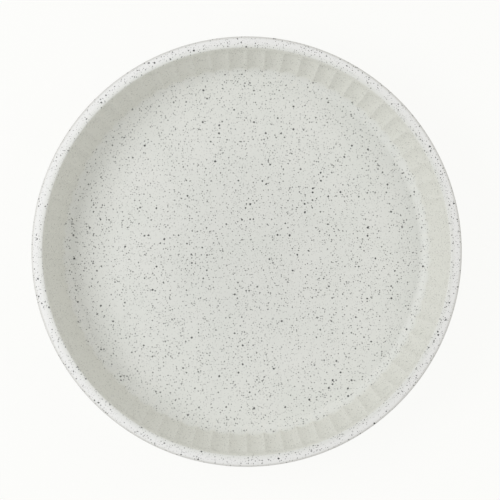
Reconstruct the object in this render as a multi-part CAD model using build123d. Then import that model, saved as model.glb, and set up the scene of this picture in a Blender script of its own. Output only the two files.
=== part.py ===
"""Round fluted quiche dish in speckled, glazed stoneware.

Units are millimetres and degrees. +Z is up, and the origin is the centre of the circle that the
dish stands on. The dish is one fired clay body under two fields of fused glaze, which the bare
foot ring keeps apart. Each is a solid of its own:

    stoneware_body   the clay: base, fluted wall, collar, lip and bare foot ring
    glaze_coat       glaze on the floor, the inside of the wall, the lip and the outside
    underside_glaze  glaze in the recess inside the foot ring

The wall repeats with its flutes, so one flute's slice of the dish is modelled, and copies of it
are set round the axis and joined. The clay is the shape of the glazed dish at a depth of one
glaze thickness under its surface, and the glaze is what lies between the two.
"""

from build123d import *
from math import cos, pi, radians, sin, sqrt, tan
import os

# Overall sizes
rim_diameter = 280.0
overall_height = 40.0

# Lip, with a gently crowned top, and the plain collar that it rolls over into
lip_width = 7.3
lip_crown_radius = 30.0
lip_crown_inset = 6.0
lip_inner_edge_radius = 1.2
lip_outer_edge_radius = 1.0
collar_height = 9.0
collar_edge_radius = 1.5
collar_bevel_angle = 30.0

# Wall, which leans outwards from upright
wall_lean_angle = 22.0
wall_thickness = 5.0

# Flutes: hollows with round tops that stand side by side and meet in sharp ridges
flute_count = 68
flute_depth = 1.4
flute_top_drop = 2.8
ridge_height_share = 0.95

# Base, with a cove that starts at a faint edge in the floor and turns up into the flutes
base_thickness = 4.6
cove_radius = 10.5
cove_edge_drop = 0.1
base_corner_radius = 7.0
flute_end_margin = 0.12

# Foot ring, left bare so that the dish doesn't stick to the kiln shelf
foot_height = 1.6
foot_width = 6.0
foot_inset = 3.5
foot_edge_radius = 0.8

# Glaze, whose outer surface has the sizes above
glaze_thickness = 0.4

# How far a cutter or a fill runs past what it cuts or joins
overrun = 20.0

# Heights and radii that follow
lean = radians(wall_lean_angle)
bevel = radians(collar_bevel_angle)
rim_radius = rim_diameter / 2
mouth_radius = rim_radius - lip_width
floor_height = foot_height + base_thickness
collar_bottom = overall_height - collar_height
crown_centre = (rim_radius - lip_crown_inset, overall_height - lip_crown_radius)
flute_pitch = 360 / flute_count
half_pitch = pi / flute_count


def wall_radius(height, out):
    """Radius, at a height, of the line that runs up the wall at out from its plain inner face."""
    return mouth_radius - (overall_height - height) * tan(lean) + out / cos(lean)


def wall_point(down, out):
    """Radius and height of the point at down from the rim and out from the wall's plain inner face."""
    radius = mouth_radius - down * sin(lean) + out * cos(lean)
    height = overall_height - down * cos(lean) - out * sin(lean)
    return radius, height


# How far from its corner an arc starts that rounds the turn from level to the wall's lean
setback_ratio = tan((pi / 2 - lean) / 2)

# A flute's half width where its round top ends, and the radius that gives it its depth there
top_down = flute_top_drop / cos(lean)
half_width = half_pitch * (mouth_radius - top_down * sin(lean)) / (1 + half_pitch * sin(lean))
ridge_height = flute_depth * ridge_height_share
flute_radius = (half_width**2 + ridge_height**2) / (2 * ridge_height)
top_rise = sqrt(2 * flute_radius * flute_depth - flute_depth**2)

# Lines up the wall: the flutes' deepest line, the wall's middle and the crests of its lobed outside
valley_out = flute_depth
middle_out = flute_depth + wall_thickness / 2
crest_out = flute_depth + wall_thickness

# The foot ring stands in from where the base's corner starts to round
corner_setback = base_corner_radius * setback_ratio
foot_outer_radius = wall_radius(foot_height, crest_out) - corner_setback - foot_inset
foot_inner_radius = foot_outer_radius - foot_width
foot_top = foot_height + base_thickness / 2


def slice_of_ring(points, arc=None, rounded=()):
    """One flute's slice of the ring with this section.

    The points run round the section. With an arc, they start at its end and stop at its start.
    Rounded lists (number of corner, radius).
    """
    if arc is None:
        section = make_face(Polyline(*points, close=True))
    else:
        section = make_face([Polyline(*points), arc])
    for number, radius in rounded:
        place = Vector(*points[number])
        corner = section.vertices().sort_by(lambda vertex: (Vector(vertex) - place).length)[0]
        section = fillet(corner, radius)
    return revolve(Plane.XZ * section, Axis.Z, flute_pitch)


def mouth_corner(skin):
    """Where the line up the wall meets the lip's crown, at the depth skin under both."""
    across = mouth_radius + skin * cos(lean) - crown_centre[0]
    up = overall_height - skin * sin(lean) - crown_centre[1]
    along = across * sin(lean) + up * cos(lean)
    clear = across**2 + up**2 - (lip_crown_radius - skin) ** 2
    return wall_point(along - sqrt(along**2 - clear), skin)


def cove_ends(skin, margin_out):
    """Where the cove leaves the floor, and where it runs out into the line up the wall."""
    radius = cove_radius + skin
    lowest = floor_height - cove_edge_drop - skin
    centre_radius = wall_radius(lowest, margin_out) - radius * setback_ratio
    edge = sqrt(radius**2 - (radius - cove_edge_drop) ** 2)
    start = (centre_radius + edge, lowest + cove_edge_drop)
    end = (centre_radius + radius * cos(lean), lowest + radius - radius * sin(lean))
    return start, end


def flute_rod(radius):
    """Rod of this radius along a flute's axis, with a round upper end and a lower end under the dish."""
    axis_radius, axis_height = wall_point(top_down + top_rise, valley_out - flute_radius)
    length = overall_height + 2 * radius + overrun
    upright = Plane(
        origin=(axis_radius, 0, axis_height),
        x_dir=(cos(lean), 0, -sin(lean)),
        z_dir=(0, -1, 0),
    )
    side = Polyline((0, -length), (radius, -length), (radius, 0))
    dome = CenterArc((0, 0), radius, 0, 90)
    section = make_face([side, dome, Line((0, radius), (0, -length))])
    rod_axis = Axis((axis_radius, 0, axis_height), (sin(lean), 0, cos(lean)))
    return Rot(0, 0, flute_pitch / 2) * revolve(upright * section, rod_axis)


def hollow_slice(skin):
    """The room inside the dish, grown by skin into the floor, the wall and the rounding of the lip."""
    below = floor_height - overrun
    above = overall_height + overrun
    corner = mouth_corner(skin)
    crown_top = (crown_centre[0], overall_height - skin)
    plain = slice_of_ring(
        [
            crown_top,
            (crown_centre[0], above),
            (0, above),
            (0, below),
            (wall_radius(below, skin), below),
            corner,
        ],
        arc=RadiusArc(corner, crown_top, lip_crown_radius - skin),
        rounded=[(5, lip_inner_edge_radius - skin)],
    )
    margin_out = valley_out + flute_end_margin + skin
    cove_start, cove_end = cove_ends(skin, margin_out)
    far = wall_radius(above, skin)
    limit = slice_of_ring(
        [
            cove_end,
            (wall_radius(collar_bottom, margin_out), collar_bottom),
            (far, collar_bottom),
            (far, above),
            (0, above),
            (0, cove_start[1]),
            cove_start,
        ],
        arc=RadiusArc(cove_start, cove_end, -cove_radius - skin),
    )
    return (plain + flute_rod(flute_radius + skin)) & limit


def lobed_slice(skin):
    """The base and the wall, filled, with a lobe outside each flute, shrunk by skin."""
    bottom = foot_height + skin
    top = (collar_bottom + overall_height) / 2
    filling = slice_of_ring(
        [
            (0, bottom - overrun),
            (wall_radius(bottom - overrun, middle_out), bottom - overrun),
            (wall_radius(top + overrun, middle_out), top + overrun),
            (0, top + overrun),
        ]
    )
    margin_out = crest_out + flute_end_margin - skin
    limit = slice_of_ring(
        [
            (0, bottom),
            (wall_radius(bottom, margin_out), bottom),
            (wall_radius(top, margin_out), top),
            (0, top),
        ],
        rounded=[(1, base_corner_radius - skin)],
    )
    return (filling + flute_rod(flute_radius + wall_thickness - skin)) & limit


def collar_slice(skin):
    """The collar and the lip, filled, with a bevelled underside that ends in the wall, shrunk by skin."""
    outside = rim_radius - skin
    edge = collar_bottom + skin / cos(bevel)
    root = wall_radius(collar_bottom, middle_out)
    root_height = edge - (rim_radius - root) * tan(bevel)
    crown = lip_crown_radius - skin
    crown_top = (crown_centre[0], overall_height - skin)
    crown_edge = crown_centre[1] + sqrt(crown**2 - (outside - crown_centre[0]) ** 2)
    return slice_of_ring(
        [
            crown_top,
            (0, overall_height - skin),
            (0, root_height),
            (root, root_height),
            (outside, edge - skin * tan(bevel)),
            (outside, crown_edge),
        ],
        arc=RadiusArc(crown_top, (outside, crown_edge), crown),
        rounded=[(4, collar_edge_radius - skin), (5, lip_outer_edge_radius - skin)],
    )


def dish_slice(skin):
    """The dish without its foot ring, as it is at the depth skin under the glaze's surface."""
    return lobed_slice(skin) + collar_slice(skin) - hollow_slice(skin)


def foot_slice():
    """The foot ring, which runs up into the base."""
    return slice_of_ring(
        [
            (foot_inner_radius, 0),
            (foot_outer_radius, 0),
            (foot_outer_radius, foot_top),
            (foot_inner_radius, foot_top),
        ],
        rounded=[(0, foot_edge_radius), (1, foot_edge_radius)],
    )


def all_round(piece, count=flute_count):
    """Copies of a slice, side by side round the axis and joined: each half, then the two halves."""
    if count == 1:
        return piece
    half = all_round(piece, count // 2)
    joined = half.fuse(Rot(0, 0, count // 2 * flute_pitch) * half, glue=True)
    if count % 2:
        joined = joined.fuse(Rot(0, 0, (count - 1) * flute_pitch) * piece, glue=True)
    return joined


def stoneware_body(clay):
    """The fired clay."""
    return all_round(clay)


def glaze_coat(clay):
    """The glaze over the clay, from the foot ring's outer side round the lip and across the floor."""
    glaze = dish_slice(0) - clay
    return all_round(glaze.solids().sort_by(SortBy.VOLUME)[-1])


def underside_glaze():
    """The disc of glaze that fills the recess inside the foot ring to the depth of the glaze."""
    bottom = (Align.CENTER, Align.CENTER, Align.MIN)
    return Pos(0, 0, foot_height) * Cylinder(foot_inner_radius, glaze_thickness, align=bottom)


clay = dish_slice(glaze_thickness) + foot_slice()
pieces = {
    "stoneware_body": stoneware_body(clay),
    "glaze_coat": glaze_coat(clay),
    "underside_glaze": underside_glaze(),
}

os.makedirs("parts", exist_ok=True)
for name, piece in pieces.items():
    piece.label = name
    export_step(piece, f"parts/{name}.step")
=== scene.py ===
"""Round fluted quiche dish in speckled, glazed stoneware, seen from above on a white floor.

Lengths are in metres. The clay body and the glaze under the base keep the frame's own shapes. The
glaze over the floor, the wall, the lip and the outside is made here: its profile is turned round
the dish's axis, and the flutes are pressed into it.
"""

import bpy
from math import asin, atan2, cos, degrees, pi, radians, sin, sqrt, tan
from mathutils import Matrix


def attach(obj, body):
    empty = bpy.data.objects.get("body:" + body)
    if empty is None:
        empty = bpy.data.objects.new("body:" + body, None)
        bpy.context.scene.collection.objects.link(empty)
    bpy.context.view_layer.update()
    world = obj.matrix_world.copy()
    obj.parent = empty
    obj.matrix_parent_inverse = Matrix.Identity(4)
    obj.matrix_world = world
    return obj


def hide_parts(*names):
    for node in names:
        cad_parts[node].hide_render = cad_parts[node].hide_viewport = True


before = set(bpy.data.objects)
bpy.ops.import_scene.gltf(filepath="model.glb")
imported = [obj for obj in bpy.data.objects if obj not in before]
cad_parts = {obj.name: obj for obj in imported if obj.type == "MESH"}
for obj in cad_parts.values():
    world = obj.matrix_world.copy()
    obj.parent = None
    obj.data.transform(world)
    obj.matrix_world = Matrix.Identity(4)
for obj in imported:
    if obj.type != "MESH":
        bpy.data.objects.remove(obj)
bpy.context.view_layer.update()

mm = 0.001

# The dish's overall sizes
rim_radius = 140 * mm
dish_height = 40 * mm
floor_height = 6.2 * mm
base_height = 1.6 * mm

# The lip, with a gently crowned top, and its collar
lip_width = 7.3 * mm
crown_radius = 30 * mm
crown_inset = 6 * mm
lip_inner_edge_radius = 1.2 * mm
lip_outer_edge_radius = 1 * mm
collar_bottom = 31 * mm
collar_edge_radius = 1.5 * mm
bevel = radians(30)

# The wall and its flutes
lean = radians(22)
wall_thickness = 5 * mm
flute_count = 68
flute_depth = 1.4 * mm
flute_top_drop = 2.8 * mm
ridge_height_share = 0.95
flute_end_margin = 0.12 * mm
cove_radius = 10.5 * mm
cove_edge_drop = 0.1 * mm
base_corner_radius = 7 * mm

# How far the foot ring stands in from where the base's corner starts to round
foot_inset = 3.5 * mm

# The glaze, and the small roll in which it ends against the foot ring, as steps out and up
glaze_thickness = 0.4 * mm
glaze_roll = [(out * mm, up * mm) for out, up in ((1.2, 0), (0.45, 0), (0.12, 0.1), (0, 0.25))]

# How the glaze softens the ridges, and how far from them the painted highlight over them reaches
ridge_softness = 0.35 * mm
ridge_highlight_reach = 1.2 * mm

# How far hand work wanders from the true shape, and over what length
hand_wander = 0.12 * mm
hand_wander_length = 38 * mm

# The mesh: its columns, a guard against rounding in them, how near to each other two points are
# joined, and an outward limit that nothing reaches
columns_per_flute = 10
rounding_guard = 0.001
merge_distance = 0.0005 * mm
beyond = 1.0

# Where the glaze grows whiter towards the lip's top, a more neutral glaze with painted light on
# the top-facing lip, and where a thin grey line edges it
lip_painted_light_heights = (37 * mm, 38.6 * mm)
lip_painted_light_radii = (132.4 * mm, 136.6 * mm)
edge_heights = (36.6 * mm, 38.4 * mm)
edge_radii = (138.1 * mm, 139.4 * mm)

# Where the painted shade on the floor's glaze fades, growing lighter outwards from its middle, and
# how dark it is painted there
painted_floor_shade_radii = (20 * mm, 85 * mm)
painted_floor_shade_depth = 0.96

# The slopes at which the glaze begins to run and runs most: 0 is level and 1 is upright
running_slopes = (0.08, 0.6)

# Colours of the glaze, the clay and the specks of iron in them
glaze_greyer = (0.725, 0.74, 0.71, 1)
glaze_whiter = (0.765, 0.77, 0.745, 1)
glaze_on_wall = (0.758, 0.759, 0.71, 1)
# The paler colour over the ridges is a painted highlight
ridge_painted_highlight = (0.795, 0.793, 0.75, 1)
# The lip's colour is a more neutral glaze, made whiter with painted light
lip_glaze_and_painted_light = (0.845, 0.846, 0.844, 1)
glaze_at_edge = (0.685, 0.682, 0.663, 1)
iron_in_glaze = (0.018, 0.019, 0.02, 1)
clay_buff = (0.52, 0.43, 0.32, 1)
clay_blush = (0.44, 0.345, 0.245, 1)
clay_grain = (0.6, 0.52, 0.41, 1)
iron_in_clay = (0.09, 0.05, 0.03, 1)

# The share of its colour that the glaze takes from the paler one, right on a ridge: a painted
# highlight
ridge_highlight_share = 0.35

# How finely the specks' outlines, the glaze's dimples and the clay's grain vary, per metre
ragged_scale = 900.0
dimple_scale = 450.0
grain_scale = 1800.0

# The range over which the specks' outlines bend, and where in its radius a speck begins to fade
ragged_bend = 0.7 * mm
speck_rim = 0.85

# The studio. The lens and the sensor are in millimetres
lamp_distance = 1.3
floor_half_side = 6.0
floor_glow_share = 0.93
camera_place = (2.22 * mm, 1.05 * mm, 1540 * mm)
camera_lens = 166.27
camera_sensor_width = 36

# Sizes that follow
crown_centre = (rim_radius - crown_inset, dish_height - crown_radius)
mouth_radius = rim_radius - lip_width
half_pitch = pi / flute_count
top_down = flute_top_drop / cos(lean)
half_width = half_pitch * (mouth_radius - top_down * sin(lean)) / (1 + half_pitch * sin(lean))
ridge_height = flute_depth * ridge_height_share
flute_radius = (half_width**2 + ridge_height**2) / (2 * ridge_height)
top_rise = sqrt(2 * flute_radius * flute_depth - flute_depth**2)
dome_down = top_down + top_rise
rod_centre_out = flute_depth - flute_radius
middle_out = flute_depth + wall_thickness / 2
crest_out = flute_depth + wall_thickness
setback_ratio = tan(pi / 4 - lean / 2)


def in_mm(*lengths):
    """Lengths that are written in millimetres."""
    return [length * mm for length in lengths]


def wall_point(down, out):
    """Radius and height of the point this far down from the rim and out from the plain wall."""
    radius = mouth_radius - down * sin(lean) + out * cos(lean)
    height = dish_height - down * cos(lean) - out * sin(lean)
    return radius, height


def out_of(point):
    """How far out from the wall's plain inner face a point of the profile lies."""
    return (point[0] - mouth_radius) * cos(lean) - (point[1] - dish_height) * sin(lean)


def wall_radius(height, out):
    """Radius, at a height, of the line that runs up the wall at out from its plain inner face."""
    return mouth_radius - (dish_height - height) * tan(lean) + out / cos(lean)


def arc(centre, radius, first, last, steps):
    """Points of an arc of the profile, from one angle in degrees to another."""
    points = []
    for step in range(steps + 1):
        angle = radians(first + (last - first) * step / steps)
        points.append((centre[0] + radius * cos(angle), centre[1] + radius * sin(angle)))
    return points


def plain_rows(points):
    """Rows of the profile that no flute reaches."""
    return [(point, beyond, out_of(point), flute_radius, 0.0) for point in points]


def fluted_rows(points, rod, limit=None, plain=None):
    """Rows that the flutes shape, between a limit and a plain surface.

    Each of these two is the row itself if it isn't given.
    """
    rows = []
    for point in points:
        most = out_of(point) if limit is None else limit
        least = out_of(point) if plain is None else plain
        rows.append((point, most, least, rod, 1.0))
    return rows


def inner_edge_centre():
    """Centre of the small rounding where the wall turns over into the lip's crown."""
    start = wall_point(0, lip_inner_edge_radius)
    across = start[0] - crown_centre[0]
    up = start[1] - crown_centre[1]
    away = crown_radius - lip_inner_edge_radius
    along = across * sin(lean) + up * cos(lean)
    return wall_point(along - sqrt(along**2 - across**2 - up**2 + away**2), lip_inner_edge_radius)


def outer_edge_centre():
    """Centre of the small rounding where the lip's crown turns down into the collar's side."""
    radius = rim_radius - lip_outer_edge_radius
    away = crown_radius - lip_outer_edge_radius
    return radius, crown_centre[1] + sqrt(away**2 - (radius - crown_centre[0]) ** 2)


def crown_angle(edge_centre):
    """Angle, seen from the crown's centre, at which the crown meets a small rounding."""
    return degrees(atan2(edge_centre[1] - crown_centre[1], edge_centre[0] - crown_centre[0]))


def inside_rows(skin, floor_shares, cove_steps, wall_downs, edge_steps, crown_steps):
    """From the middle of the floor through the cove and up the flutes to the top of the lip."""
    cove = cove_radius + skin
    cove_height = floor_height - cove_edge_drop + cove_radius
    cove_centre = wall_radius(cove_height, flute_depth + flute_end_margin - cove_radius)
    reach = sqrt(cove**2 - (cove - cove_edge_drop) ** 2)
    start = degrees(asin(reach / cove)) - 90
    floor_edge = cove_centre + reach
    edge = inner_edge_centre()
    meeting = crown_angle(edge)
    rod = flute_radius + skin
    rows = plain_rows([(share * floor_edge, floor_height - skin) for share in floor_shares])
    rows += fluted_rows(
        arc((cove_centre, cove_height), cove, start, -degrees(lean), cove_steps), rod, plain=skin
    )
    rows += fluted_rows([wall_point(down, skin) for down in wall_downs], rod, beyond, skin)
    rows += plain_rows(
        arc(edge, lip_inner_edge_radius - skin, 180 - degrees(lean), meeting, edge_steps)
    )
    rows += plain_rows(arc(crown_centre, crown_radius - skin, meeting, 90, crown_steps)[1:])
    return rows


def outside_rows(skin, lip_steps, collar_steps, bevel_runs, wall_downs, corner_steps):
    """From the top of the lip over the collar and down the lobed outside to the foot ring."""
    outside = rim_radius - skin
    edge = outer_edge_centre()
    meeting = crown_angle(edge)
    collar = collar_edge_radius - skin
    edge_height = collar_bottom + skin / cos(bevel) - skin * tan(bevel)
    collar_centre = (outside - collar, edge_height + collar * tan(bevel))
    rod = flute_radius + wall_thickness - skin
    bottom = base_height + skin
    corner = base_corner_radius - skin
    corner_radius = wall_radius(bottom, crest_out + flute_end_margin - skin)
    corner_start = corner_radius - corner * setback_ratio
    rows = plain_rows(arc(crown_centre, crown_radius - skin, 90, meeting, lip_steps))
    rows += plain_rows(arc(edge, lip_outer_edge_radius - skin, meeting, 0, lip_steps)[1:])
    rows += plain_rows(arc(collar_centre, collar, 0, degrees(bevel) - 90, collar_steps))
    under_collar = [
        (outside - run * cos(bevel), edge_height - run * sin(bevel)) for run in bevel_runs
    ]
    rows += fluted_rows(under_collar, rod, beyond)
    rows += fluted_rows(
        [wall_point(down, crest_out - skin) for down in wall_downs], rod, beyond, middle_out
    )
    rows += fluted_rows(
        arc((corner_start, bottom + corner), corner, -degrees(lean), -90, corner_steps),
        rod,
        plain=middle_out,
    )
    return rows


def glaze_profile():
    """The glaze's profile: over its surface to the foot ring, and back against the clay."""
    foot_outer_radius = (
        wall_radius(base_height, crest_out) - base_corner_radius * setback_ratio - foot_inset
    )
    wall_downs = in_mm(28, 24, 20, 16, 13, 10.8, 9.3, 8, 6.8, 5.8, 5, 4.4)
    arch_downs = in_mm(3.95, 3.6, 3.3, 3.05, 2.8, 2.5, 1.9)
    seen = inside_rows(
        skin=0,
        floor_shares=(0, 0.1, 0.27, 0.45, 0.62, 0.78, 0.9, 0.96, 0.985, 0.996),
        cove_steps=14,
        wall_downs=wall_downs + arch_downs,
        edge_steps=4,
        crown_steps=3,
    )
    seen += outside_rows(
        skin=0,
        lip_steps=4,
        collar_steps=5,
        bevel_runs=in_mm(1.9, 3.6, 5, 5.6, 6.1, 6.6, 7.1, 7.7),
        wall_downs=in_mm(12.4, 13.2, 15, 18, 21.5, 25, 28.5),
        corner_steps=11,
    )
    seen += plain_rows([(foot_outer_radius + out, base_height + up) for out, up in glaze_roll])
    hidden = inside_rows(
        skin=glaze_thickness,
        floor_shares=(0, 0.5, 0.95),
        cove_steps=6,
        wall_downs=in_mm(27, 18, 10.5, 8, 6, 4.6, 3.7, 3, 2.6),
        edge_steps=3,
        crown_steps=2,
    )
    hidden += outside_rows(
        skin=glaze_thickness,
        lip_steps=3,
        collar_steps=2,
        bevel_runs=in_mm(3, 5.4, 6.4, 7.6),
        wall_downs=in_mm(12.6, 17, 24),
        corner_steps=5,
    )
    hidden += plain_rows([(foot_outer_radius, base_height + glaze_thickness)])
    rows = [row + (1.0,) for row in seen]
    rows += [row + (0.0,) for row in reversed(hidden)]
    mesh = bpy.data.meshes.new("glaze_profile")
    mesh.from_pydata([(radius, 0, height) for (radius, height), *_ in rows], [], [])
    names = ("limit_out", "plain_out", "rod_radius", "fluted", "seen")
    for place, name in enumerate(names, start=1):
        values = mesh.attributes.new(name, "FLOAT", "POINT")
        values.data.foreach_set("value", [row[place] for row in rows])
    return mesh


class Number:
    """A number in a node tree. Arithmetic on it adds Math nodes to that tree."""

    def __init__(self, tree, value):
        self.tree = tree
        self.value = value

    def maths(self, operation, *others):
        """This number and others put through one Math node."""
        step = self.tree.nodes.new("ShaderNodeMath")
        step.operation = operation
        for place, number in enumerate((self, *others)):
            feed(self.tree, step.inputs[place], number)
        return Number(self.tree, step.outputs[0])

    def __add__(self, other):
        return self.maths("ADD", other)

    def __sub__(self, other):
        return self.maths("SUBTRACT", other)

    def __mul__(self, other):
        return self.maths("MULTIPLY", other)

    def __truediv__(self, other):
        return self.maths("DIVIDE", other)


def feed(tree, socket, value):
    """Sets a socket to a value, or links it to another node's output."""
    if isinstance(value, Number):
        value = value.value
    if isinstance(value, bpy.types.NodeSocket):
        tree.links.new(value, socket)
    else:
        socket.default_value = value


def node(tree, kind, inputs=(), **settings):
    """A new node with its settings, and its inputs set or linked by name or place."""
    made = tree.nodes.new(kind)
    for name, value in settings.items():
        setattr(made, name, value)
    for name, value in dict(inputs).items():
        feed(tree, made.inputs[name], value)
    return made


def named_input(tree, kind, name, value=None):
    """A named input for a node tree, with its usual value."""
    socket = tree.interface.new_socket(name, in_out="INPUT", socket_type=kind)
    if value is not None:
        socket.default_value = value


# What the tree below takes besides its profile and its material
flute_sizes = {
    "Flutes": float(flute_count),
    "Columns per Flute": float(columns_per_flute),
    "Merge Distance": merge_distance,
    "Lean": lean,
    "Mouth Radius": mouth_radius,
    "Height": dish_height,
    "Rod Centre Out": rod_centre_out,
    "Dome Down": dome_down,
    "Softness": ridge_softness,
    "Ridge Reach": ridge_highlight_reach,
    "Wander": hand_wander,
    "Wander Length": hand_wander_length,
}


def flute_tree():
    """The tree that turns a profile round the axis and presses the flutes into it."""
    tree = bpy.data.node_groups.new("turn_and_flute", "GeometryNodeTree")
    named_input(tree, "NodeSocketGeometry", "Profile")
    named_input(tree, "NodeSocketMaterial", "Glaze")
    for name in flute_sizes:
        named_input(tree, "NodeSocketFloat", name)
    tree.interface.new_socket("Dish", in_out="OUTPUT", socket_type="NodeSocketGeometry")
    inputs = tree.nodes.new("NodeGroupInput").outputs
    size = {name: Number(tree, inputs[name]) for name in flute_sizes}

    # One row of points for each point of the profile, and one column for each step round the dish
    rows = node(tree, "GeometryNodeAttributeDomainSize", {"Geometry": inputs["Profile"]})
    columns = size["Flutes"] * size["Columns per Flute"]
    sheet = node(
        tree,
        "GeometryNodeMeshGrid",
        {"Vertices X": rows.outputs["Point Count"], "Vertices Y": columns + 1},
    )
    index = Number(tree, node(tree, "GeometryNodeInputIndex").outputs[0])
    row = ((index + 0.5) / (columns + 1)).maths("FLOOR")
    column = index - row * (columns + 1)

    def at_row(value, kind):
        """What a value of the profile's points is at each row."""
        found = node(
            tree,
            "GeometryNodeSampleIndex",
            {"Geometry": inputs["Profile"], "Value": value, "Index": row},
            data_type=kind,
        )
        return found.outputs["Value"]

    def from_profile(name):
        """What the profile holds under this name, at each row."""
        held = node(tree, "GeometryNodeInputNamedAttribute", {"Name": name}, data_type="FLOAT")
        return Number(tree, at_row(held.outputs["Attribute"], "FLOAT"))

    place = node(tree, "GeometryNodeInputPosition").outputs[0]
    parts = node(tree, "ShaderNodeSeparateXYZ", {0: at_row(place, "FLOAT_VECTOR")})
    radius = Number(tree, parts.outputs["X"])
    height = Number(tree, parts.outputs["Z"])

    # Columns crowd towards the ridges, where the surface bends most
    turn = column / size["Columns per Flute"]
    flute = (turn + rounding_guard).maths("FLOOR")
    across = (((turn - flute) * 2 - 1) * (pi / 2)).maths("SINE")
    half_turn = Number(tree, pi) / size["Flutes"]
    angle = (flute + across * 0.5 + 0.5) * half_turn * 2

    # The flutes' rods, with domed tops, and the softened ridge where two of them meet
    sine = size["Lean"].maths("SINE")
    cosine = size["Lean"].maths("COSINE")
    inward = radius - size["Mouth Radius"]
    lift = height - size["Height"]
    down = Number(tree, 0.0) - inward * sine - lift * cosine
    out = inward * cosine - lift * sine
    short = (size["Dome Down"] - down).maths("MAXIMUM", 0.0)
    rod = from_profile("rod_radius")
    beside = (radius * (across * half_turn).maths("SINE")).maths("ABSOLUTE")
    width = radius * half_turn.maths("SINE") * 2

    def rod_out(sideways):
        """How far out the surface of a flute's rod lies, this far from the flute's middle."""
        chord = (rod * rod - sideways * sideways - short * short).maths("MAXIMUM", 0.0)
        bow = sideways * sideways * cosine / (radius.maths("MAXIMUM", mm) * 2)
        return size["Rod Centre Out"] + chord.maths("SQRT") + bow

    near = rod_out(beside)
    far = rod_out(width - beside)
    ridged = near.maths("SMOOTH_MAX", far, size["Softness"])
    raised = ridged.maths("SMOOTH_MAX", from_profile("plain_out"), size["Softness"])
    held = raised.maths("SMOOTH_MIN", from_profile("limit_out"), size["Softness"])
    fluted = from_profile("fluted")
    press = (held - out) * fluted
    new_radius = radius + press * cosine
    new_height = height - press * sine
    spot = node(
        tree,
        "ShaderNodeCombineXYZ",
        {
            "X": new_radius * angle.maths("COSINE"),
            "Y": new_radius * angle.maths("SINE"),
            "Z": new_height,
        },
    )

    # How near each point is to a ridge, and whether it lies on the surface that shows
    # The nearness to a ridge places the glaze's painted highlight over the ridges
    nearness = (Number(tree, 1.0) - (near - far) / size["Ridge Reach"]).maths("MAXIMUM", 0.0)
    marked = node(
        tree,
        "GeometryNodeStoreNamedAttribute",
        {"Geometry": sheet.outputs["Mesh"], "Name": "ridge", "Value": nearness * fluted},
        data_type="FLOAT",
        domain="POINT",
    )
    sided = node(
        tree,
        "GeometryNodeStoreNamedAttribute",
        {"Geometry": marked.outputs[0], "Name": "shows", "Value": from_profile("seen")},
        data_type="FLOAT",
        domain="POINT",
    )
    placed = node(
        tree,
        "GeometryNodeSetPosition",
        {"Geometry": sided.outputs[0], "Position": spot.outputs[0]},
    )
    joined = node(
        tree,
        "GeometryNodeMergeByDistance",
        {"Geometry": placed.outputs[0], "Distance": inputs["Merge Distance"]},
    )

    # Hand work wanders a little from the true shape, always to the inside of it
    frequency = Number(tree, 1.0) / size["Wander Length"]
    wander = node(
        tree,
        "ShaderNodeTexNoise",
        {"Vector": place, "Scale": frequency, "Detail": 1.0, "Roughness": 0.4},
    )
    shows = node(tree, "GeometryNodeInputNamedAttribute", {"Name": "shows"}, data_type="FLOAT")
    shown = Number(tree, shows.outputs["Attribute"])
    depth = Number(tree, wander.outputs[0]) * size["Wander"] * shown
    shift = node(
        tree,
        "ShaderNodeVectorMath",
        {0: node(tree, "GeometryNodeInputNormal").outputs[0], "Scale": depth * -1},
        operation="SCALE",
    )
    worked = node(
        tree,
        "GeometryNodeSetPosition",
        {"Geometry": joined.outputs[0], "Offset": shift.outputs[0]},
    )
    smooth = node(tree, "GeometryNodeSetShadeSmooth", {"Geometry": worked.outputs[0]})
    real = node(tree, "GeometryNodeRealizeInstances", {"Geometry": smooth.outputs[0]})
    glazed = node(
        tree,
        "GeometryNodeSetMaterial",
        {"Geometry": real.outputs[0], "Material": inputs["Glaze"]},
    )
    node(tree, "NodeGroupOutput", {"Dish": glazed.outputs[0]})
    return tree


def fluted_glaze(glaze):
    """The glaze over the floor, the flutes, the lip and the outside, as one closed skin."""
    piece = bpy.data.objects.new("fluted_glaze", glaze_profile())
    bpy.context.scene.collection.objects.link(piece)
    tree = flute_tree()
    turned = piece.modifiers.new("turned and fluted", "NODES")
    turned.node_group = tree
    for socket in tree.interface.items_tree:
        if socket.name in flute_sizes:
            turned[socket.identifier] = flute_sizes[socket.name]
        if socket.name == "Glaze":
            turned[socket.identifier] = glaze
    bpy.context.view_layer.update()
    finished = piece.evaluated_get(bpy.context.evaluated_depsgraph_get())
    mesh = bpy.data.meshes.new_from_object(finished)
    piece.modifiers.clear()
    piece.data = mesh
    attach(piece, "root")
    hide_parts("glaze_coat")


def ranged(tree, value, between, ends=(0.0, 1.0), way="SMOOTHSTEP"):
    """Goes from one end to the other, while the value goes from one of two limits to the other."""
    going = node(
        tree,
        "ShaderNodeMapRange",
        {
            "Value": value,
            "From Min": between[0],
            "From Max": between[1],
            "To Min": ends[0],
            "To Max": ends[1],
        },
        interpolation_type=way,
    )
    return Number(tree, going.outputs[0])


def group_tree(name, inputs, outputs):
    """The tree of a shader node group with these sockets, and where its inputs come in."""
    tree = bpy.data.node_groups.new(name, "ShaderNodeTree")
    for label, (kind, value) in inputs.items():
        named_input(tree, kind, label, value)
    for label, kind in outputs.items():
        tree.interface.new_socket(label, in_out="OUTPUT", socket_type=kind)
    return tree, tree.nodes.new("NodeGroupInput").outputs


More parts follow.
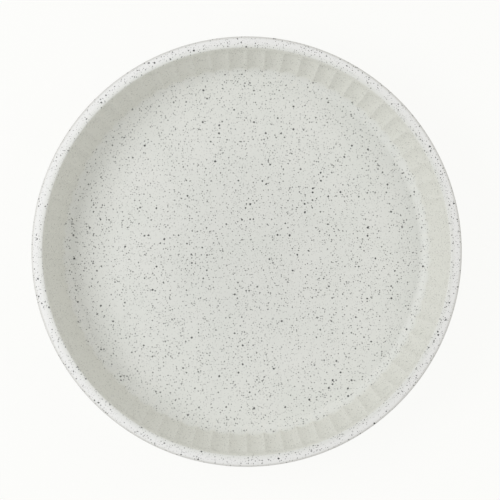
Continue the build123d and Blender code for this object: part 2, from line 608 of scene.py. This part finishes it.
def iron_specks():
    """Group: dark specks of iron, as grains scattered through the stuff and cut by its surface."""
    tree, inputs = group_tree(
        "iron_specks",
        {
            "Place": ("NodeSocketVector", None),
            "Spacing": ("NodeSocketFloat", 2 * mm),
            "Smallest": ("NodeSocketFloat", 0.1 * mm),
            "Largest": ("NodeSocketFloat", 0.3 * mm),
            "Share": ("NodeSocketFloat", 1.0),
            "Faintest": ("NodeSocketFloat", 0.3),
        },
        {"Cover": "NodeSocketFloat"},
    )
    spacing = Number(tree, inputs["Spacing"])
    grid = node(
        tree,
        "ShaderNodeVectorMath",
        {0: inputs["Place"], "Scale": Number(tree, 1.0) / spacing},
        operation="SCALE",
    )
    grains = node(tree, "ShaderNodeTexVoronoi", {"Vector": grid.outputs[0], "Scale": 1.0})
    chance = node(tree, "ShaderNodeSeparateColor", {0: grains.outputs["Color"]})
    size = Number(tree, chance.outputs[0])
    least = Number(tree, inputs["Smallest"])
    reach = least + (Number(tree, inputs["Largest"]) - least) * size * size
    away = Number(tree, grains.outputs["Distance"]) * spacing
    inside = ranged(tree, away / reach, (speck_rim, 1.0), (1.0, 0.0))
    there = Number(tree, chance.outputs[1]).maths("LESS_THAN", inputs["Share"])
    faint = Number(tree, inputs["Faintest"])
    strength = faint + (Number(tree, 1.0) - faint) * Number(tree, chance.outputs[2])
    cover = inside * there * strength
    node(tree, "NodeGroupOutput", {"Cover": cover})
    return tree


def drifts():
    """Group: soft cloudy variation between 0 and 1, as glaze and clay settle unevenly."""
    tree, inputs = group_tree(
        "drifts",
        {
            "Place": ("NodeSocketVector", None),
            "Length": ("NodeSocketFloat", 20 * mm),
            "Contrast": ("NodeSocketFloat", 1.0),
        },
        {"Amount": "NodeSocketFloat"},
    )
    clouds = node(
        tree,
        "ShaderNodeTexNoise",
        {
            "Vector": inputs["Place"],
            "Scale": Number(tree, 1.0) / Number(tree, inputs["Length"]),
            "Detail": 3.0,
            "Roughness": 0.5,
        },
    )
    spread = (Number(tree, clouds.outputs[0]) - 0.5) * Number(tree, inputs["Contrast"]) + 0.5
    held = node(tree, "ShaderNodeClamp", {0: spread})
    node(tree, "NodeGroupOutput", {"Amount": held.outputs[0]})
    return tree


def placed_group(tree, group, **inputs):
    """What a group gives in a material, with these values of its inputs."""
    return Number(tree, node(tree, "ShaderNodeGroup", inputs, node_tree=group).outputs[0])


def blended(tree, amount, first, second, way="MIX"):
    """Colour between two others. A mix takes colours in its sockets 6 and 7."""
    mix = node(tree, "ShaderNodeMix", {0: amount}, data_type="RGBA", blend_type=way)
    feed(tree, mix.inputs[6], first)
    feed(tree, mix.inputs[7], second)
    return mix.outputs[2]


def grey(tree, amount):
    """A grey of this lightness."""
    return node(tree, "ShaderNodeCombineColor", {0: amount, 1: amount, 2: amount}).outputs[0]


def radius_and_height(tree, place):
    """How far a place lies from the dish's axis, and how high."""
    parts = node(tree, "ShaderNodeSeparateXYZ", {0: place}).outputs
    x = Number(tree, parts["X"])
    y = Number(tree, parts["Y"])
    return {"radius": (x * x + y * y).maths("SQRT"), "height": parts["Z"]}


def raised_and_out(tree, apart, heights, radii):
    """1 above a range of heights and beyond a range of radii, 0 below or inside either of them."""
    return ranged(tree, apart["height"], heights) * ranged(tree, apart["radius"], radii)


def new_material(name):
    """A material of this name, its tree and its surface shader."""
    material = bpy.data.materials.new(name)
    material.use_nodes = True
    tree = material.node_tree
    return material, tree, tree.nodes["Principled BSDF"]


def speckled_glaze(specks, clouds):
    """Satin white glaze with a hint of green, full of iron specks, with a painted highlight over
    the ridges.
    """
    material, tree, surface = new_material("speckled_glaze")
    coordinates = node(tree, "ShaderNodeTexCoord")
    place = coordinates.outputs["Object"]
    apart = radius_and_height(tree, place)
    facing = node(tree, "ShaderNodeSeparateXYZ", {0: coordinates.outputs["Normal"]})
    upright = Number(tree, 1.0) - Number(tree, facing.outputs["Z"]).maths("ABSOLUTE")

    # Specks bent out of round, in three sizes, thicker in some places than in others
    ragged = node(
        tree,
        "ShaderNodeTexNoise",
        {"Vector": place, "Scale": ragged_scale, "Detail": 1.0},
    )
    bend = node(
        tree,
        "ShaderNodeVectorMath",
        {0: ragged.outputs["Color"], 1: (-0.5, -0.5, -0.5)},
        operation="ADD",
    )
    bent = node(
        tree,
        "ShaderNodeVectorMath",
        {0: bend.outputs[0], 1: (ragged_bend,) * 3, 2: place},
        operation="MULTIPLY_ADD",
    ).outputs[0]
    crowd = placed_group(tree, clouds, Place=place, Length=9 * mm, Contrast=2.2)
    steep = ranged(tree, upright, running_slopes)

    def grains(loss, **sizes):
        """Specks that lose this share of their strength on steep faces, where the glaze ran."""
        scattered = placed_group(tree, specks, Place=bent, **sizes)
        return scattered * (Number(tree, 1.0) - steep * loss)

    fine = grains(
        loss=0.1,
        Spacing=0.8 * mm,
        Smallest=0.12 * mm,
        Largest=0.25 * mm,
        Share=crowd * 0.6 + 0.45,
        Faintest=0.35,
    )
    middling = grains(
        loss=0.55,
        Spacing=1.45 * mm,
        Smallest=0.25 * mm,
        Largest=0.46 * mm,
        Share=crowd * 0.6 + 0.3,
        Faintest=0.9,
    )
    large = grains(
        loss=0.75,
        Spacing=2.6 * mm,
        Smallest=0.38 * mm,
        Largest=0.76 * mm,
        Share=0.28,
        Faintest=1.0,
    )
    cover = fine.maths("MAXIMUM", middling).maths("MAXIMUM", large)

    # The glaze itself: cloudy, warmer on the wall, with painted shade in the floor's middle, a
    # painted highlight over the ridges, and whitest on the lip, where part of the whiteness is
    # painted light
    soft = placed_group(tree, clouds, Place=place, Length=28 * mm, Contrast=1.6)
    glaze = blended(tree, soft, glaze_greyer, glaze_whiter)
    # Painted shade: the floor's glaze is darker in its middle and lighter outwards
    painted_floor_shade = ranged(tree, apart["radius"], painted_floor_shade_radii, (painted_floor_shade_depth, 1.0))
    glaze = blended(tree, 1.0, glaze, grey(tree, painted_floor_shade), "MULTIPLY")
    glaze = blended(tree, steep, glaze, glaze_on_wall)
    ridge = node(tree, "ShaderNodeAttribute", attribute_name="ridge")
    # Painted highlight: the glaze is paler near each ridge
    ridge_highlight = Number(tree, ridge.outputs["Fac"]) * ridge_highlight_share
    glaze = blended(tree, ridge_highlight, glaze, ridge_painted_highlight)
    # Painted light: the lip's top is whiter, partly from a more neutral glaze
    lip_painted_light = raised_and_out(tree, apart, lip_painted_light_heights, lip_painted_light_radii)
    glaze = blended(tree, lip_painted_light, glaze, lip_glaze_and_painted_light)
    edge = raised_and_out(tree, apart, edge_heights, edge_radii)
    glaze = blended(tree, edge, glaze, glaze_at_edge)
    colour = blended(tree, cover, glaze, iron_in_glaze)
    feed(tree, surface.inputs["Base Color"], colour)

    # Satin, a little duller in the specks, with the fine dimpling of a fired glaze
    sheen = placed_group(tree, clouds, Place=place, Length=7 * mm, Contrast=1.5)
    roughness = sheen * 0.1 + cover * 0.15 + 0.4
    feed(tree, surface.inputs["Roughness"], roughness)
    dimples = node(
        tree,
        "ShaderNodeTexNoise",
        {"Vector": place, "Scale": dimple_scale, "Detail": 2.0},
    )
    relief = Number(tree, dimples.outputs[0]) * 0.5 + cover * 0.35
    bump = node(
        tree,
        "ShaderNodeBump",
        {"Height": relief, "Strength": 1.0, "Distance": 0.012 * mm},
    )
    feed(tree, surface.inputs["Normal"], bump.outputs[0])
    surface.inputs["IOR"].default_value = 1.5
    return material


def bare_stoneware(specks, clouds):
    """Dry buff clay, toothy, with iron specks and a darker blush, as it shows on the foot ring."""
    material, tree, surface = new_material("bare_stoneware")
    place = node(tree, "ShaderNodeTexCoord").outputs["Object"]
    blush = placed_group(tree, clouds, Place=place, Length=16 * mm, Contrast=2.0)
    clay = blended(tree, blush, clay_buff, clay_blush)
    grain = node(
        tree,
        "ShaderNodeTexNoise",
        {"Vector": place, "Scale": grain_scale, "Detail": 3.0},
    )
    tooth = ranged(tree, grain.outputs[0], (0.35, 0.65), (0.0, 0.5), "LINEAR")
    clay = blended(tree, tooth, clay, clay_grain)
    iron = placed_group(
        tree,
        specks,
        Place=place,
        Spacing=1.6 * mm,
        Smallest=0.12 * mm,
        Largest=0.45 * mm,
        Share=0.8,
        Faintest=0.2,
    )
    colour = blended(tree, iron, clay, iron_in_clay)
    feed(tree, surface.inputs["Base Color"], colour)
    roughness = Number(tree, grain.outputs[0]) * 0.15 + 0.78
    feed(tree, surface.inputs["Roughness"], roughness)
    bump = node(
        tree,
        "ShaderNodeBump",
        {"Height": grain.outputs[0], "Strength": 1.0, "Distance": 0.06 * mm},
    )
    feed(tree, surface.inputs["Normal"], bump.outputs[0])
    surface.inputs["Specular IOR Level"].default_value = 0.25
    return material


def seen_directly(tree):
    """1 where the camera, a reflection or a clear thing looks, 0 where light only bounces."""
    path = node(tree, "ShaderNodeLightPath").outputs
    straight = Number(tree, path["Is Camera Ray"]).maths("MAXIMUM", path["Is Glossy Ray"])
    return straight.maths("MAXIMUM", path["Is Transmission Ray"])


def white_floor():
    """A wide white floor that keeps a soft trace of the dish's shadow."""
    mesh = bpy.data.meshes.new("studio_floor")
    side = floor_half_side
    corners = [(-side, -side, 0), (side, -side, 0), (side, side, 0), (-side, side, 0)]
    mesh.from_pydata(corners, [], [(0, 1, 2, 3)])
    floor = bpy.data.objects.new("studio_floor", mesh)
    bpy.context.scene.collection.objects.link(floor)
    material = bpy.data.materials.new("floor_paper")
    material.use_nodes = True
    tree = material.node_tree
    tree.nodes.clear()
    paper = node(tree, "ShaderNodeBsdfDiffuse", {"Color": (0.9, 0.9, 0.89, 1)})
    glow = node(tree, "ShaderNodeEmission", {"Color": (0.985, 0.985, 0.968, 1), "Strength": 1.0})
    both = node(
        tree,
        "ShaderNodeMixShader",
        {0: seen_directly(tree) * floor_glow_share, 1: paper.outputs[0], 2: glow.outputs[0]},
    )
    node(tree, "ShaderNodeOutputMaterial", {"Surface": both.outputs[0]})
    mesh.materials.append(material)


def softbox(name, bearing, tilt, size, power, colour):
    """A soft light that looks at the middle of the dish's foot.

    Its bearing is from +X, seen from above, and its tilt is away from straight above.
    """
    lamp = bpy.data.lights.new(name, "AREA")
    lamp.shape = "RECTANGLE"
    lamp.size = size[0]
    lamp.size_y = size[1]
    lamp.energy = power
    lamp.color = colour
    placed = bpy.data.objects.new(name, lamp)
    across = lamp_distance * sin(radians(tilt))
    placed.location = (
        across * cos(radians(bearing)),
        across * sin(radians(bearing)),
        lamp_distance * cos(radians(tilt)),
    )
    placed.rotation_euler = (0, radians(tilt), radians(bearing))
    bpy.context.scene.collection.objects.link(placed)


def studio_light():
    """A large soft light on the left, a weak one on the right, and even light from all round."""
    softbox(
        "softbox_left",
        bearing=177,
        tilt=43,
        size=(0.6, 0.95),
        power=6.85,
        colour=(0.975, 0.985, 1.0),
    )
    softbox(
        "softbox_right",
        bearing=20,
        tilt=45,
        size=(0.5, 0.6),
        power=1.68,
        colour=(1.0, 0.985, 0.935),
    )
    world = bpy.data.worlds.new("studio")
    bpy.context.scene.world = world
    world.use_nodes = True
    tree = world.node_tree
    tree.nodes.clear()
    around = node(tree, "ShaderNodeBackground", {"Color": (1, 0.995, 0.965, 1), "Strength": 0.6})
    backdrop = node(tree, "ShaderNodeBackground", {"Color": (1, 1, 0.985, 1), "Strength": 0.97})
    both = node(
        tree,
        "ShaderNodeMixShader",
        {0: seen_directly(tree), 1: around.outputs[0], 2: backdrop.outputs[0]},
    )
    node(tree, "ShaderNodeOutputWorld", {"Surface": both.outputs[0]})


def camera_above():
    """The camera, straight above the dish and a little off its axis."""
    lens = bpy.data.cameras.new("camera")
    lens.lens = camera_lens
    lens.sensor_width = camera_sensor_width
    camera = bpy.data.objects.new("camera", lens)
    camera.location = camera_place
    bpy.context.scene.collection.objects.link(camera)
    bpy.context.scene.camera = camera


camera_above()
studio_light()
white_floor()
bpy.context.scene.view_settings.view_transform = "Standard"

specks = iron_specks()
clouds = drifts()
glaze = speckled_glaze(specks, clouds)
clay = bare_stoneware(specks, clouds)
fluted_glaze(glaze)
for name, material in (("stoneware_body", clay), ("underside_glaze", glaze)):
    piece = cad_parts[name]
    piece.data.materials.clear()
    piece.data.materials.append(material)
